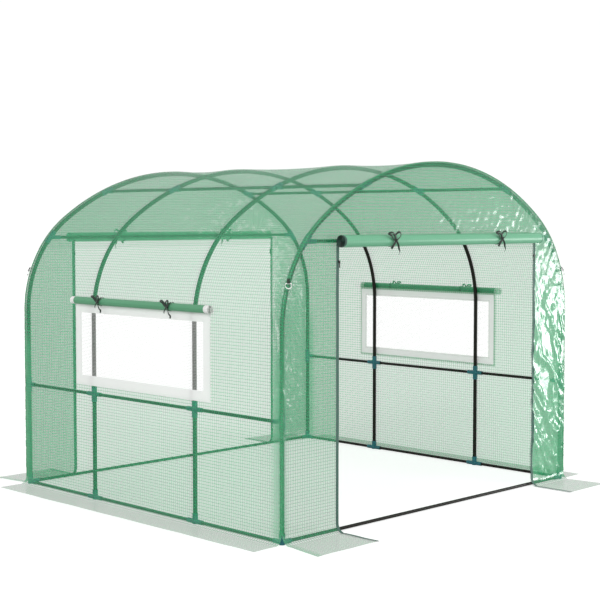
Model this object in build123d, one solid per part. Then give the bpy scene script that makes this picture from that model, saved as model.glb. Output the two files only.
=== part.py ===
"""Walk-in polytunnel greenhouse: four tube hoops under a grid-reinforced film cover.

Millimetres, +Z up. The origin is on the ground at the middle of the tunnel. The tunnel
runs along Y, its front end faces -Y, and left is -X.
"""
import math
import os

from build123d import *

# Hoops and bays, on tube centre lines
half_width = 1270.0
leg_height = 1100.0
arch_rise = 900.0
shoulder_radius = 720.0
end_bay = 695.0
middle_bay = 930.0

# Tubes
hoop_radius = 12.5
butt_gap = 0.3
rail_radius = 9.5
middle_rail_height = 630.0
head_bar_height = 1568.0
roof_rail_offset = 640.0

# Moulded connectors
socket_clearance = 0.2
socket_wall = 3.3
socket_length = 46.0
socket_floor = 3.0
stop_web = 2.0

# Film cover and its ground skirts
cover_clearance = 0.3
film = 3.0
cove_radius = 50.0
side_skirt_reach = 200.0
end_skirt_reach = 295.0
skirt_corner_flare = 40.0
wall_split_height = 1250.0

# Doorways and their rolled-up doors
doorway_half_width = 893.0
front_doorway_shift = 32.0
rear_doorway_shift = 0.0
zip_width = 14.0
gable_drop = 15.0
front_roll_radius = 34.0
front_roll_span = (-882.0, 945.0)
rear_roll_radius = 31.0
rear_roll_span = (-918.0, 910.0)
front_tie_places = (-477.0, 502.0)
rear_tie_places = (-480.0, 488.0)

# Side windows and their rolled-up flaps
window_half_length = 620.0
window_bottom = 695.0
window_top = 1195.0
window_border = 60.0
flap_roll_radius = 24.0
flap_roll_height = 1209.0
flap_roll_half_length = 631.0
left_flap_shift = -9.0
right_flap_shift = -10.0
left_tie_places = (-308.0, 337.0)
right_tie_places = (-315.0, 330.0)

# Ties and guy rings
tie_width = 12.0
tie_thickness = 2.0
tie_knot = 14.0
tie_tail = 70.0
tie_tail_width = 8.0
tie_tail_offset = 2.0
tie_spread = 16.0
tie_open_angle = 35.0
seat_gap = 0.15
ring_radius = 14.0
ring_wire = 2.0
ring_height = 1374.0
ring_tab_length = 20.0
ring_tab_width = 15.0
ring_tab_thickness = 5.0

# How far a cutting solid reaches past what it cuts
cut_margin = 1.0
window_cut_depth = 100.0

# Worked out from the sizes above
rail_socket_radius = rail_radius + socket_clearance + socket_wall
hoop_socket_radius = hoop_radius + socket_clearance + socket_wall
ground_axis = rail_socket_radius
leg_top = ground_axis + leg_height
crown_radius = (half_width**2 - 2 * half_width * shoulder_radius + arch_rise**2) / (
    2 * (arch_rise - shoulder_radius))
crown_centre_z = leg_top + arch_rise - crown_radius
shoulder_centre_x = half_width - shoulder_radius
shoulder_angle = math.degrees(math.atan2(leg_top - crown_centre_z, shoulder_centre_x))
half_length = end_bay + middle_bay / 2
hoop_places = (-half_length, -middle_bay / 2, middle_bay / 2, half_length)
rail_start = hoop_radius + socket_clearance + stop_web
cover_inside = hoop_socket_radius + cover_clearance
cover_outside = cover_inside + film
wall_bottom = cove_radius + film
panel_inside = half_length + cover_inside
panel_outside = panel_inside + film
head_bar_z = ground_axis + head_bar_height
middle_rail_z = ground_axis + middle_rail_height
gable_bottom = head_bar_z - gable_drop
zip_outer_edge = doorway_half_width + zip_width
leg_length = leg_height
shoulder_length = shoulder_radius * math.radians(shoulder_angle)
big = 4 * (half_width + half_length + leg_top + arch_rise)


def bar(start, end, radius):
    """A straight round bar from one point to another."""
    run = Vector(*end) - Vector(*start)
    return Solid.make_cylinder(radius, run.length, Plane(origin=start, z_dir=run.normalized()))


def ring_arc(centre_x, centre_z, bend, start_angle, end_angle, radius, y):
    """A round bar bent about an axis along Y; angles are degrees up from +X."""
    turn = math.radians(start_angle)
    start = (centre_x + bend * math.cos(turn), y, centre_z + bend * math.sin(turn))
    plane = Plane(origin=start, z_dir=(-math.sin(turn), 0, math.cos(turn)))
    section = Face(Wire(Edge.make_circle(radius, plane)))
    return revolve(section, Axis((centre_x, y, centre_z), (0, -1, 0)), end_angle - start_angle)


def along_hoop(start, end, radius, y):
    """A bar along the right half of a hoop, by distance up from the ground rail's axis."""
    pieces = []
    if start < leg_length:
        top = min(end, leg_length)
        pieces.append(bar((half_width, y, ground_axis + start), (half_width, y, ground_axis + top),
                          radius))
    if end > leg_length and start < leg_length + shoulder_length:
        low = max(start - leg_length, 0) / shoulder_radius
        high = min(end - leg_length, shoulder_length) / shoulder_radius
        pieces.append(ring_arc(shoulder_centre_x, leg_top, shoulder_radius,
                               math.degrees(low), math.degrees(high), radius, y))
    past = leg_length + shoulder_length
    if end > past:
        low = shoulder_angle + math.degrees(max(start - past, 0) / crown_radius)
        high = shoulder_angle + math.degrees((end - past) / crown_radius)
        pieces.append(ring_arc(0, crown_centre_z, crown_radius, low, high, radius, y))
    whole = pieces[0]
    for piece in pieces[1:]:
        whole = whole + piece
    return whole


def hoop_at_height(z):
    """Distance up the hoop's centre line, and its X, at a height."""
    if z <= leg_top:
        return z - ground_axis, half_width
    turn = math.asin((z - leg_top) / shoulder_radius)
    if math.degrees(turn) <= shoulder_angle:
        return (leg_length + shoulder_radius * turn,
                shoulder_centre_x + shoulder_radius * math.cos(turn))
    turn = math.asin((z - crown_centre_z) / crown_radius)
    past = crown_radius * (turn - math.radians(shoulder_angle))
    return leg_length + shoulder_length + past, crown_radius * math.cos(turn)


def hoop_at_offset(x):
    """Distance up the hoop's centre line, and its height, at a distance from the middle."""
    turn = math.acos(x / crown_radius)
    if math.degrees(turn) >= shoulder_angle:
        past = crown_radius * (turn - math.radians(shoulder_angle))
        return leg_length + shoulder_length + past, crown_centre_z + crown_radius * math.sin(turn)
    turn = math.acos((x - shoulder_centre_x) / shoulder_radius)
    return leg_length + shoulder_radius * turn, leg_top + shoulder_radius * math.sin(turn)


def lean_at(place):
    """How far the hoop leans in from upright at a distance up its centre line, in degrees."""
    if place <= leg_length:
        return 0.0
    past = place - leg_length - shoulder_length
    if past <= 0:
        return math.degrees((place - leg_length) / shoulder_radius)
    return shoulder_angle + math.degrees(past / crown_radius)


def both_sides(solids):
    """The right-hand solids and their mirror images."""
    return list(solids) + [solid.mirror(Plane.YZ) for solid in solids]


def save(node, solids):
    """Write one node."""
    kept = [single for solid in solids for single in solid.solids()]
    export_step(Compound(children=kept), f"parts/{node}.step")


def block(low, high):
    """A box from its lowest corner to its highest."""
    size = [top - bottom for bottom, top in zip(low, high)]
    return Solid.make_box(*size, Plane(origin=low))


middle_place = middle_rail_z - ground_axis
head_place, head_x = hoop_at_height(head_bar_z)
head_lean = math.radians(lean_at(head_place))
head_start = (rail_start + rail_radius * math.sin(head_lean)) / math.cos(head_lean)
roof_place, roof_rail_z = hoop_at_offset(roof_rail_offset)
crown_place = leg_length + shoulder_length + crown_radius * math.radians(90 - shoulder_angle)


def hoop(y):
    """One hoop's legs, shoulder tubes and crown tube; the shoulders butt on the upper legs."""
    foot = socket_floor + socket_clearance - ground_axis
    lower = along_hoop(foot, middle_place - stop_web, hoop_radius, y)
    upper = along_hoop(middle_place + stop_web, leg_length - butt_gap / 2, hoop_radius, y)
    shoulder = along_hoop(leg_length + butt_gap / 2, roof_place - stop_web, hoop_radius, y)
    crown_half = math.degrees((crown_place - roof_place - stop_web) / crown_radius)
    crown = ring_arc(0, crown_centre_z, crown_radius, 90 - crown_half, 90 + crown_half,
                     hoop_radius, y)
    return both_sides([lower, upper, shoulder]) + [crown]


def rail_tubes(x, z):
    """The three tubes of one lengthwise rail."""
    bays = zip(hoop_places, hoop_places[1:])
    return [bar((x, low + rail_start, z), (x, high - rail_start, z), rail_radius)
            for low, high in bays]


def rail_sockets(x, z, y):
    """Outer sleeves and bores of a connector's lengthwise sockets."""
    sleeves = []
    bores = []
    for way in (-1, 1):
        if abs(y + way) > half_length:
            continue
        reach = rail_start + socket_length
        sleeves.append(bar((x, y, z), (x, y + way * reach, z), rail_socket_radius))
        bores.append(bar((x, y + way * (rail_start - socket_clearance), z),
                         (x, y + way * (reach + cut_margin), z), rail_radius + socket_clearance))
    return sleeves, bores


def cross_socket(x, z, y, start):
    """Outer sleeve and bore of a socket that runs across the tunnel; its bar ends at start."""
    reach = start + socket_length
    sleeve = bar((x, y, z), (x - reach, y, z), rail_socket_radius)
    bore = bar((x - start + socket_clearance, y, z), (x - reach - cut_margin, y, z),
               rail_radius + socket_clearance)
    return sleeve, bore


def moulding(sleeves, bores):
    """One connector: its sleeves fused, then bored."""
    body = sleeves[0]
    for sleeve in sleeves[1:]:
        body = body + sleeve
    for bore in bores:
        body = body - bore
    return body


def ground_connector(y):
    """Foot of a hoop: a vertical socket, with two or one rail sockets and the end bar's."""
    sleeves, bores = rail_sockets(half_width, ground_axis, y)
    sleeves.append(along_hoop(-ground_axis, socket_length, hoop_socket_radius, y))
    bores.append(along_hoop(socket_floor - ground_axis, socket_length + cut_margin,
                            hoop_radius + socket_clearance, y))
    if abs(y) == half_length:
        sleeve, bore = cross_socket(half_width, ground_axis, y, rail_start)
        sleeves.append(sleeve)
        bores.append(bore)
    return moulding(sleeves, bores)


def hoop_joint(place, x, z, y):
    """Connector that joins two hoop tubes end to end and carries a rail."""
    sleeves, bores = rail_sockets(x, z, y)
    sleeves.append(along_hoop(place - socket_length, place + socket_length, hoop_socket_radius, y))
    half_web = stop_web - socket_clearance
    bore_radius = hoop_radius + socket_clearance
    bore_reach = socket_length + cut_margin
    bores.append(along_hoop(place - bore_reach, place - half_web, bore_radius, y))
    bores.append(along_hoop(place + half_web, place + bore_reach, bore_radius, y))
    return moulding(sleeves, bores)


def head_connector(y):
    """Sleeve round the whole end hoop that holds the bar over the doorway."""
    sleeve, bore = cross_socket(head_x, head_bar_z, y, head_start)
    round_hoop = along_hoop(head_place - socket_length, head_place + socket_length,
                            hoop_socket_radius, y)
    bore_reach = socket_length + cut_margin
    through = along_hoop(head_place - bore_reach, head_place + bore_reach,
                         hoop_radius + socket_clearance, y)
    return moulding([sleeve, round_hoop], [bore, through])


def outline(offset, bottom):
    """Edges of the hoop's outline at an offset, from the right foot over to the left."""
    side = half_width + offset
    shoulder = shoulder_radius + offset
    crown = crown_radius + offset
    turn = math.radians(shoulder_angle)
    half_turn = turn / 2
    knee_x = shoulder_centre_x + shoulder * math.cos(turn)
    knee_z = leg_top + shoulder * math.sin(turn)
    mid_x = shoulder_centre_x + shoulder * math.cos(half_turn)
    mid_z = leg_top + shoulder * math.sin(half_turn)
    return [
        Edge.make_line((side, 0, bottom), (side, 0, leg_top)),
        Edge.make_three_point_arc((side, 0, leg_top), (mid_x, 0, mid_z), (knee_x, 0, knee_z)),
        Edge.make_three_point_arc((knee_x, 0, knee_z), (0, 0, crown_centre_z + crown),
                                  (-knee_x, 0, knee_z)),
        Edge.make_three_point_arc((-knee_x, 0, knee_z), (-mid_x, 0, mid_z), (-side, 0, leg_top)),
        Edge.make_line((-side, 0, leg_top), (-side, 0, bottom)),
    ]


def outline_slab(offset, bottom, low_y, high_y):
    """The whole outline as a slab between two places along the tunnel."""
    side = half_width + offset
    edges = outline(offset, bottom) + [Edge.make_line((-side, 0, bottom), (side, 0, bottom))]
    face = Face(Wire(edges)).moved(Location((0, low_y, 0)))
    return Solid.extrude(face, Vector(0, high_y - low_y, 0))


def cover_shell():
    """The curved cover from end panel to end panel, down to the skirts."""
    outside = outline_slab(cover_outside, wall_bottom, -panel_inside, panel_inside)
    past = panel_inside + cut_margin
    return outside - outline_slab(cover_inside, wall_bottom - cut_margin, -past, past)


def window_boxes(side):
    """Cutting boxes of one side's window: outside its border and inside it."""
    low_x, high_x = sorted((side * (half_width - window_cut_depth), side * (half_width + window_cut_depth)))
    whole = block((low_x, -window_half_length, window_bottom),
                  (high_x, window_half_length, window_top))
    edge = window_half_length - window_border
    net = block((low_x, -edge, window_bottom + window_border),
                (high_x, edge, window_top - window_border))
    return whole, net


def skirt_strip(low_x, high_x, reach, flare=0.0):
    """Cove and ground flap of the front end between two X places; flare widens the high side."""
    centre_y = -panel_inside - wall_bottom
    end_y = -panel_outside - reach
    turn = math.sqrt(0.5)
    inner_mid = (low_x, centre_y + wall_bottom * turn, wall_bottom - wall_bottom * turn)
    outer_mid = (low_x, centre_y + cove_radius * turn, wall_bottom - cove_radius * turn)
    edges = [
        Edge.make_three_point_arc((low_x, -panel_inside, wall_bottom), inner_mid, (low_x, centre_y, 0)),
        Edge.make_line((low_x, centre_y, 0), (low_x, centre_y, film)),
        Edge.make_three_point_arc((low_x, centre_y, film), outer_mid, (low_x, -panel_outside, wall_bottom)),
        Edge.make_line((low_x, -panel_outside, wall_bottom), (low_x, -panel_inside, wall_bottom)),
    ]
    cove = Solid.extrude(Face(Wire(edges)), Vector(high_x - low_x, 0, 0))
    corners = [(low_x, centre_y, 0), (high_x, centre_y, 0),
               (high_x + flare, end_y, 0), (low_x, end_y, 0)]
    flap = Solid.extrude(Face(Wire.make_polygon(corners)), Vector(0, 0, film))
    return cove + flap


def side_skirt():
    """The left side's cove and ground flap."""
    shift = half_width - half_length
    strip = skirt_strip(-panel_inside, panel_inside, side_skirt_reach)
    return strip.moved(Location((0, -shift, 0))).rotate(Axis.Z, -90)


def at_rear(solids):
    """The same pieces at the rear end."""
    return [solid.mirror(Plane.XZ) for solid in solids]


def end_zip(shift):
    """The right zip of a doorway, down the panel and out along the skirt."""
    inner, outer = doorway_half_width + shift, zip_outer_edge + shift
    tape = block((inner, -panel_outside, wall_bottom), (outer, -panel_inside, gable_bottom))
    return tape + skirt_strip(inner, outer, end_skirt_reach)


def end_pieces(shift):
    """The front end's sheets, skirts and zips, with its doorway shifted to the right."""
    sheet = outline_slab(cover_outside, wall_bottom, -panel_outside, -panel_inside)
    corner = half_width + cover_outside
    low, high = shift - zip_outer_edge, shift + zip_outer_edge
    return {
        "gable_panel": [sheet & block((low, -big, gable_bottom), (high, big, big))],
        "left_panel": [sheet & block((-big, -big, -big), (low, big, big))],
        "right_panel": [sheet & block((high, -big, -big), (big, big, big))],
        "left_skirt": [skirt_strip(-low, corner, end_skirt_reach, skirt_corner_flare).mirror(Plane.YZ)],
        "right_skirt": [skirt_strip(high, corner, end_skirt_reach, skirt_corner_flare)],
        "zips": [end_zip(shift), end_zip(-shift).mirror(Plane.YZ)],
    }


def tie(roll_radius, turn, lean, centre):
    """A strap round the front of a roll, open to the wall's lean, its bow's knot and two tails."""
    inner = roll_radius + seat_gap
    outer = inner + tie_thickness
    end = math.radians(90 - tie_open_angle)
    reach = (math.cos(end), math.sin(end))
    edges = []
    for radius in (inner, outer):
        low = (-tie_width / 2, radius * reach[1], -radius * reach[0])
        high = (-tie_width / 2, radius * reach[1], radius * reach[0])
        edges.append(Edge.make_three_point_arc(low, (-tie_width / 2, -radius, 0), high))
    edges += [Edge.make_line(edges[0] @ end_point, edges[1] @ end_point) for end_point in (0, 1)]
    strap = Solid.extrude(Face(Wire(edges)), Vector(tie_width, 0, 0)).rotate(Axis.X, -lean)
    half_knot = tie_knot / 2
    half_tail = tie_tail_width / 2
    middle = (inner + outer) / 2
    whole = strap + block((-half_knot, -outer - half_knot, -half_knot), (half_knot, -middle, half_knot))
    for way in (-1, 1):
        tail = block((-half_tail, -tie_thickness, -tie_tail), (half_tail, 0, 0))
        start = Location((way * tie_tail_offset, -outer - tie_tail_offset, 0))
        whole = whole + tail.rotate(Axis.Y, -way * tie_spread).moved(start)
    return whole.rotate(Axis.Z, turn).moved(Location(centre))


def guy_ring():
    """Right front ring, hung in its webbing loop flat against the cover's corner edge."""
    place, x = hoop_at_height(ring_height)
    turn = math.radians(lean_at(place))
    out = Vector(math.cos(turn), 0, math.sin(turn))
    up = Vector(-math.sin(turn), 0, math.cos(turn))
    facing = (out - Vector(0, 1, 0)).normalized()
    across = facing.cross(up)
    corner = Vector(x, -panel_outside, ring_height) + out * cover_outside
    tab_corner = corner + facing * seat_gap - across * (ring_tab_width / 2)
    tab = Solid.make_box(ring_tab_length, ring_tab_width, ring_tab_thickness,
                         Plane(origin=tab_corner, x_dir=up, z_dir=facing))
    centre = corner + facing * (2 * seat_gap + ring_wire) - up * (ring_radius - 2 * ring_wire)
    return tab + Solid.make_torus(ring_radius, ring_wire, Plane(origin=centre, z_dir=facing))


os.makedirs("parts", exist_ok=True)

hoop_names = ("hoop_front", "hoop_middle_front", "hoop_middle_rear", "hoop_rear")
for name, place_y in zip(hoop_names, hoop_places):
    save(name, hoop(place_y))

rail_rows = (("ground", half_width, ground_axis), ("middle", half_width, middle_rail_z),
             ("roof", roof_rail_offset, roof_rail_z))
for name, row_x, row_z in rail_rows:
    save(f"left_{name}_rail", rail_tubes(-row_x, row_z))
    save(f"right_{name}_rail", rail_tubes(row_x, row_z))

for end, place_y in (("front", -half_length), ("rear", half_length)):
    ground_end = half_width - rail_start
    head_end = head_x - head_start
    ground_bar = bar((-ground_end, place_y, ground_axis), (ground_end, place_y, ground_axis), rail_radius)
    save(f"{end}_ground_bar", [ground_bar])
    head_bar = bar((-head_end, place_y, head_bar_z), (head_end, place_y, head_bar_z), rail_radius)
    save(f"{end}_head_bar", [head_bar])

save("ground_connectors", both_sides([ground_connector(y) for y in hoop_places]))
save("middle_connectors", both_sides([hoop_joint(middle_place, half_width, middle_rail_z, y)
                                      for y in hoop_places]))
save("roof_connectors", both_sides([hoop_joint(roof_place, roof_rail_offset, roof_rail_z, y)
                                    for y in hoop_places]))
save("head_connectors", both_sides([head_connector(y) for y in (-half_length, half_length)]))

shell = cover_shell()
save("roof_cover", [shell & block((-big, -big, wall_split_height), (big, big, big))])
for name, side in (("left", -1), ("right", 1)):
    half = block((min(0, side * big), -big, -big), (max(0, side * big), big, wall_split_height))
    wall = shell & half
    window, net = window_boxes(side)
    save(f"{name}_wall_cover", [wall - window])
    save(f"{name}_window_border", [(wall & window) - net])
    save(f"{name}_window_mesh", [wall & net])

front_pieces = end_pieces(front_doorway_shift)
rear_pieces = end_pieces(rear_doorway_shift)
for name in ("gable_panel", "left_panel", "right_panel", "left_skirt", "right_skirt"):
    save(f"front_{name}", front_pieces[name])
    save(f"rear_{name}", at_rear(rear_pieces[name]))

left_side_skirt = side_skirt()
save("left_skirt", [left_side_skirt])
save("right_skirt", [left_side_skirt.mirror(Plane.YZ)])
save("door_zips", front_pieces["zips"] + at_rear(rear_pieces["zips"]))

front_roll_y = -panel_outside - cover_clearance - front_roll_radius
rear_roll_y = panel_outside + cover_clearance + rear_roll_radius
save("front_door_roll", [bar((front_roll_span[0], front_roll_y, head_bar_z),
                             (front_roll_span[1], front_roll_y, head_bar_z), front_roll_radius)])
save("rear_door_roll", [bar((rear_roll_span[0], rear_roll_y, head_bar_z),
                            (rear_roll_span[1], rear_roll_y, head_bar_z), rear_roll_radius)])
flap_place, wall_x = hoop_at_height(flap_roll_height)
wall_lean = lean_at(flap_place)
roll_x = wall_x + (cover_outside + cover_clearance + flap_roll_radius) / math.cos(math.radians(wall_lean))
for name, side, shift in (("left", -1, left_flap_shift), ("right", 1, right_flap_shift)):
    save(f"{name}_window_roll", [bar((side * roll_x, shift - flap_roll_half_length, flap_roll_height),
                                     (side * roll_x, shift + flap_roll_half_length, flap_roll_height),
                                     flap_roll_radius)])

door_ties = [tie(front_roll_radius, 0, 0, (x, front_roll_y, head_bar_z)) for x in front_tie_places]
door_ties += [tie(rear_roll_radius, 180, 0, (x, rear_roll_y, head_bar_z)) for x in rear_tie_places]
save("door_ties", door_ties)
window_ties = [tie(flap_roll_radius, -90, wall_lean, (-roll_x, y, flap_roll_height))
               for y in left_tie_places]
window_ties += [tie(flap_roll_radius, 90, wall_lean, (roll_x, y, flap_roll_height))
                for y in right_tie_places]
save("window_ties", window_ties)
ring = guy_ring()
front_rings = [ring, ring.mirror(Plane.YZ)]
save("guy_rings", front_rings + at_rear(front_rings))
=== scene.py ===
"""Looks of a walk-in polytunnel greenhouse: film, nets, rolls, zips and ties on its CAD frame.

Metres, +Z up, the origin on the ground at the middle of the tunnel. The tunnel runs along Y,
its front end faces -Y, and left is -X. Every sheet is cut flat first and then bent into place.
"""
import math

import bmesh
import bpy
from bpy.props import FloatProperty, FloatVectorProperty, PointerProperty
from mathutils import Matrix, Vector, noise


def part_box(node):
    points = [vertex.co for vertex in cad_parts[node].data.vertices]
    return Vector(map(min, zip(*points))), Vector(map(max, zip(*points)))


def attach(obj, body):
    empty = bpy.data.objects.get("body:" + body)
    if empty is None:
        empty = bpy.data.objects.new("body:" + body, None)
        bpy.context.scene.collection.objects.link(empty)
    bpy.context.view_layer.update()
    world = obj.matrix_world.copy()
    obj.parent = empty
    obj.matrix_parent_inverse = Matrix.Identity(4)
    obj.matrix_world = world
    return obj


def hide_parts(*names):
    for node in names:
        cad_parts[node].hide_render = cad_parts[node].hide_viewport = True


bl_info = {
    "name": "Polytunnel Greenhouse",
    "version": (1, 0, 0),
    "blender": (4, 5, 0),
    "location": "View3D > Sidebar > Polytunnel",
    "description": "Builds the film cover, windows, doors and finishes of a polytunnel on its frame",
    "category": "Object",
}

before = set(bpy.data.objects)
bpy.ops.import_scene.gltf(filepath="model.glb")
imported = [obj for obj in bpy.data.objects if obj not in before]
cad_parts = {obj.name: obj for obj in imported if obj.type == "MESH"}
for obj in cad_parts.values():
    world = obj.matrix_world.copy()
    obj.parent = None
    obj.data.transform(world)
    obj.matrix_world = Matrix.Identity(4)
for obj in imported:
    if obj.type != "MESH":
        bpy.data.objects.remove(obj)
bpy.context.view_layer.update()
MM = 0.001


def linear(hex_colour):
    """An sRGB hex colour as the linear values that shaders and lamps take."""
    channels = [int(hex_colour[i:i + 2], 16) / 255 for i in (1, 3, 5)]
    return [c / 12.92 if c <= 0.04045 else ((c + 0.055) / 1.055) ** 2.4 for c in channels]


def size(label, about, value):
    """A length that a user may change, in metres."""
    return FloatProperty(name=label, description=about, default=value, unit="LENGTH", precision=4)


def tint(label, about, hex_colour):
    """A colour that a user may change."""
    return FloatVectorProperty(name=label, description=about, subtype="COLOR", size=3,
                               min=0, max=1, default=linear(hex_colour))


class TunnelSizes(bpy.types.PropertyGroup):
    """Sizes of the tunnel's soft pieces."""
    leg_height: size("Leg height", "Straight height of a hoop's leg above the ground rail", 1.1)
    shoulder_radius: size("Shoulder radius", "Bend of the hoop at its shoulder", 0.72)
    mesh_pitch: size("Film mesh", "Spacing of the cover's own vertices", 0.016)
    end_mesh_pitch: size("End film mesh", "Spacing of the end sheets' own vertices", 0.009)
    scrim_pitch: size("Scrim pitch", "Spacing of the film's reinforcing tapes", 0.0175)
    scrim_tape: size("Scrim tape", "Width of one reinforcing tape", 0.004)
    roof_sag: size("Roof sag", "How far the roof film sinks between two hoops", 0.012)
    wall_sag: size("Wall sag", "How far the wall film draws in between two hoops", 0.005)
    cove_radius: size("Cove radius", "Bend of the film from the wall to the ground", 0.05)
    border_width: size("Window border", "Width of the white band round a window", 0.06)
    net_pitch: size("Net pitch", "Spacing of the window net's threads", 0.0085)
    film_lap: size("Film lap", "How far the film reaches under a sewn band", 0.012)
    flap_band: size("Flap band", "White band at each end of a window flap", 0.034)
    zip_tape: size("Zip tape", "Width of one side of a door zip", 0.014)
    turn_pitch: size("Turn pitch", "Distance between two turns of a rolled-up door", 0.0024)
    flap_turn_pitch: size("Flap turn pitch", "Distance between two turns of a rolled-up flap", 0.0031)
    tie_width: size("Tie width", "Width of a tie strap", 0.013)
    crumple_depth: size("Crumple depth", "Height of the folds where the film is crumpled", 0.009)


class TunnelColours(bpy.types.PropertyGroup):
    """Colours of the tunnel's materials."""
    film: tint("Film pigment", "Pigment in the film, seen where it scatters light", "#4BCF90")
    film_cell: tint("Film cell", "Tint of light that passes through a cell of the film", "#FCF2F7")
    film_tape: tint("Film tape", "Tint of light that passes through a reinforcing tape", "#E6C9DA")
    rolled_film: tint("Rolled film", "Film where many layers lie on each other", "#6EB68F")
    flap_film: tint("Flap film", "Film of the rolled window flaps", "#4F946C")
    border: tint("Window border", "Coated fabric round the windows", "#FCFCFB")
    net: tint("Window net", "Threads of the insect net", "#F4F6F3")
    zip_tape: tint("Zip tape", "Woven tape of the door zips", "#2E5247")
    zip_coil: tint("Zip coil", "Nylon coil of the door zips", "#26332F")
    tie: tint("Tie strap", "Woven straps that hold the rolls", "#0A1E12")
    tube: tint("Tube paint", "Powder coat of the steel tubes", "#1B1A16")
    connector: tint("Connector", "Moulded plastic of the tube connectors", "#1E6E78")
    ring: tint("Ring", "Plastic guy rings", "#F2F6F1")
    ground: tint("Ground", "Floor and backdrop", "#E8E8E8")


def middle(node):
    """The middle of a CAD node's box."""
    low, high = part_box(node)
    return (low + high) / 2


hoop_low, hoop_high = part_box("hoop_front")
tube_radius = (hoop_high.y - hoop_low.y) / 2
half_width = hoop_high.x - tube_radius
ridge = hoop_high.z - tube_radius
half_length = -middle("hoop_front").y
inner_hoop = -middle("hoop_middle_front").y
ground_axis = middle("left_ground_rail").z
panel_low, panel_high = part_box("front_left_panel")
film_thickness = panel_high.y - panel_low.y
panel_y = -middle("front_left_panel").y
wall_bottom = panel_low.z
film_offset = -panel_low.x - film_thickness / 2 - half_width
skirt_lift = film_thickness / 2
side_reach = -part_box("left_skirt")[0].x
end_reach = -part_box("front_left_skirt")[0].y
skirt_flare = panel_low.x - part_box("front_left_skirt")[0].x
gable_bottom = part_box("front_gable_panel")[0].z
doorways = {way: (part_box(f"{name}_left_panel")[1].x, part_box(f"{name}_right_panel")[0].x)
            for name, way in (("front", -1), ("rear", 1))}
doorway_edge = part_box("rear_right_panel")[0].x
rail_offset = middle("right_roof_rail").x
tunnel_middle = Vector((0, 0, ridge / 2))


class Outline:
    """The line that the film takes over the hoops, measured from the ridge down to one side."""

    def __init__(self, sizes):
        self.leg_top = ground_axis + sizes.leg_height
        rise = ridge - self.leg_top
        bend = sizes.shoulder_radius
        crown = (half_width**2 - 2 * half_width * bend + rise**2) / (2 * (rise - bend))
        self.crown_centre = self.leg_top + rise - crown
        self.shoulder_centre = half_width - bend
        self.shoulder_turn = math.atan2(self.leg_top - self.crown_centre, self.shoulder_centre)
        self.crown = crown + film_offset
        self.shoulder = bend + film_offset
        self.wall = half_width + film_offset
        self.cove = sizes.cove_radius + film_thickness / 2
        self.crown_end = self.crown * (math.pi / 2 - self.shoulder_turn)
        self.shoulder_end = self.crown_end + self.shoulder * self.shoulder_turn
        self.leg_end = self.shoulder_end + self.leg_top - wall_bottom
        self.cove_end = self.leg_end + self.cove * math.pi / 2
        self.end = self.cove_end + side_reach - self.wall - self.cove

    def at(self, place, lift=0.0):
        """(x, z) at a distance down from the ridge; lift is how far it stands off outwards."""
        side = -1 if place < 0 else 1
        down = abs(place)
        if down <= self.crown_end:
            turn = math.pi / 2 - down / self.crown
            x = (self.crown + lift) * math.cos(turn)
            z = self.crown_centre + (self.crown + lift) * math.sin(turn)
        elif down <= self.shoulder_end:
            turn = self.shoulder_turn - (down - self.crown_end) / self.shoulder
            x = self.shoulder_centre + (self.shoulder + lift) * math.cos(turn)
            z = self.leg_top + (self.shoulder + lift) * math.sin(turn)
        elif down <= self.leg_end:
            x = self.wall + lift
            z = self.leg_top - (down - self.shoulder_end)
        elif down <= self.cove_end:
            turn = (down - self.leg_end) / self.cove
            x = self.wall + self.cove - (self.cove - lift) * math.cos(turn)
            z = skirt_lift + self.cove - (self.cove - lift) * math.sin(turn)
        else:
            x = self.wall + self.cove + down - self.cove_end
            z = skirt_lift + lift
        return side * x, z

    def place_at(self, z):
        """Distance down from the ridge to a height on the leg or the shoulder."""
        if z <= self.leg_top:
            return self.shoulder_end + self.leg_top - z
        return self.shoulder_end - self.shoulder * math.asin((z - self.leg_top) / self.shoulder)

    def depth(self, x, up):
        """How far a point of an end lies inside the line."""
        if up <= self.leg_top:
            return self.wall - abs(x)
        turn = math.atan2(up - self.leg_top, abs(x) - self.shoulder_centre)
        if turn <= self.shoulder_turn:
            return self.shoulder - math.hypot(abs(x) - self.shoulder_centre, up - self.leg_top)
        return self.crown - math.hypot(x, up - self.crown_centre)

    def tangents(self):
        """Points and outward directions of the lines that trim an end sheet to the arch."""
        step = math.radians(4)
        arcs = ((self.shoulder_centre, self.leg_top, self.shoulder, 0, self.shoulder_turn),
                (0, self.crown_centre, self.crown, self.shoulder_turn, math.pi / 2))
        for centre_x, centre_z, radius, low, high in arcs:
            count = math.ceil((high - low) / step)
            for i in range(count + 1):
                turn = low + (high - low) * i / count
                for side in (-1, 1):
                    out = Vector((side * math.cos(turn), math.sin(turn), 0))
                    yield Vector((side * centre_x, centre_z, 0)) + out * radius, out


def smooth(low, high, value):
    """0 below low, 1 above high and smooth between them."""
    share = min(max((value - low) / (high - low), 0.0), 1.0)
    return share * share * (3 - 2 * share)


def between_hoops(along):
    """0 on a hoop and 1 midway between two of them."""
    places = (-half_length, -inner_hoop, inner_hoop, half_length)
    for low, high in zip(places, places[1:]):
        if low <= along <= high:
            share = (along - low) / (high - low)
            return 4 * share * (1 - share)
    return 0.0


def folds(across, along, wave, stretch, seed):
    """Sharp-crested folds about 0, wave apart, and stretch times as long as they are wide."""
    spot = Vector((across / wave, along / (wave * stretch), seed))
    drift = noise.noise(spot * 0.45 + Vector((7.1, 3.3, 0))) * 1.6
    first = 0.55 - abs(noise.noise(spot + Vector((drift, drift, 0)))) * 2.4
    second = 0.5 - abs(noise.noise(spot * 2.3 + Vector((0, 0, 5.7)))) * 2.4
    return 0.72 * first + 0.28 * second


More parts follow.
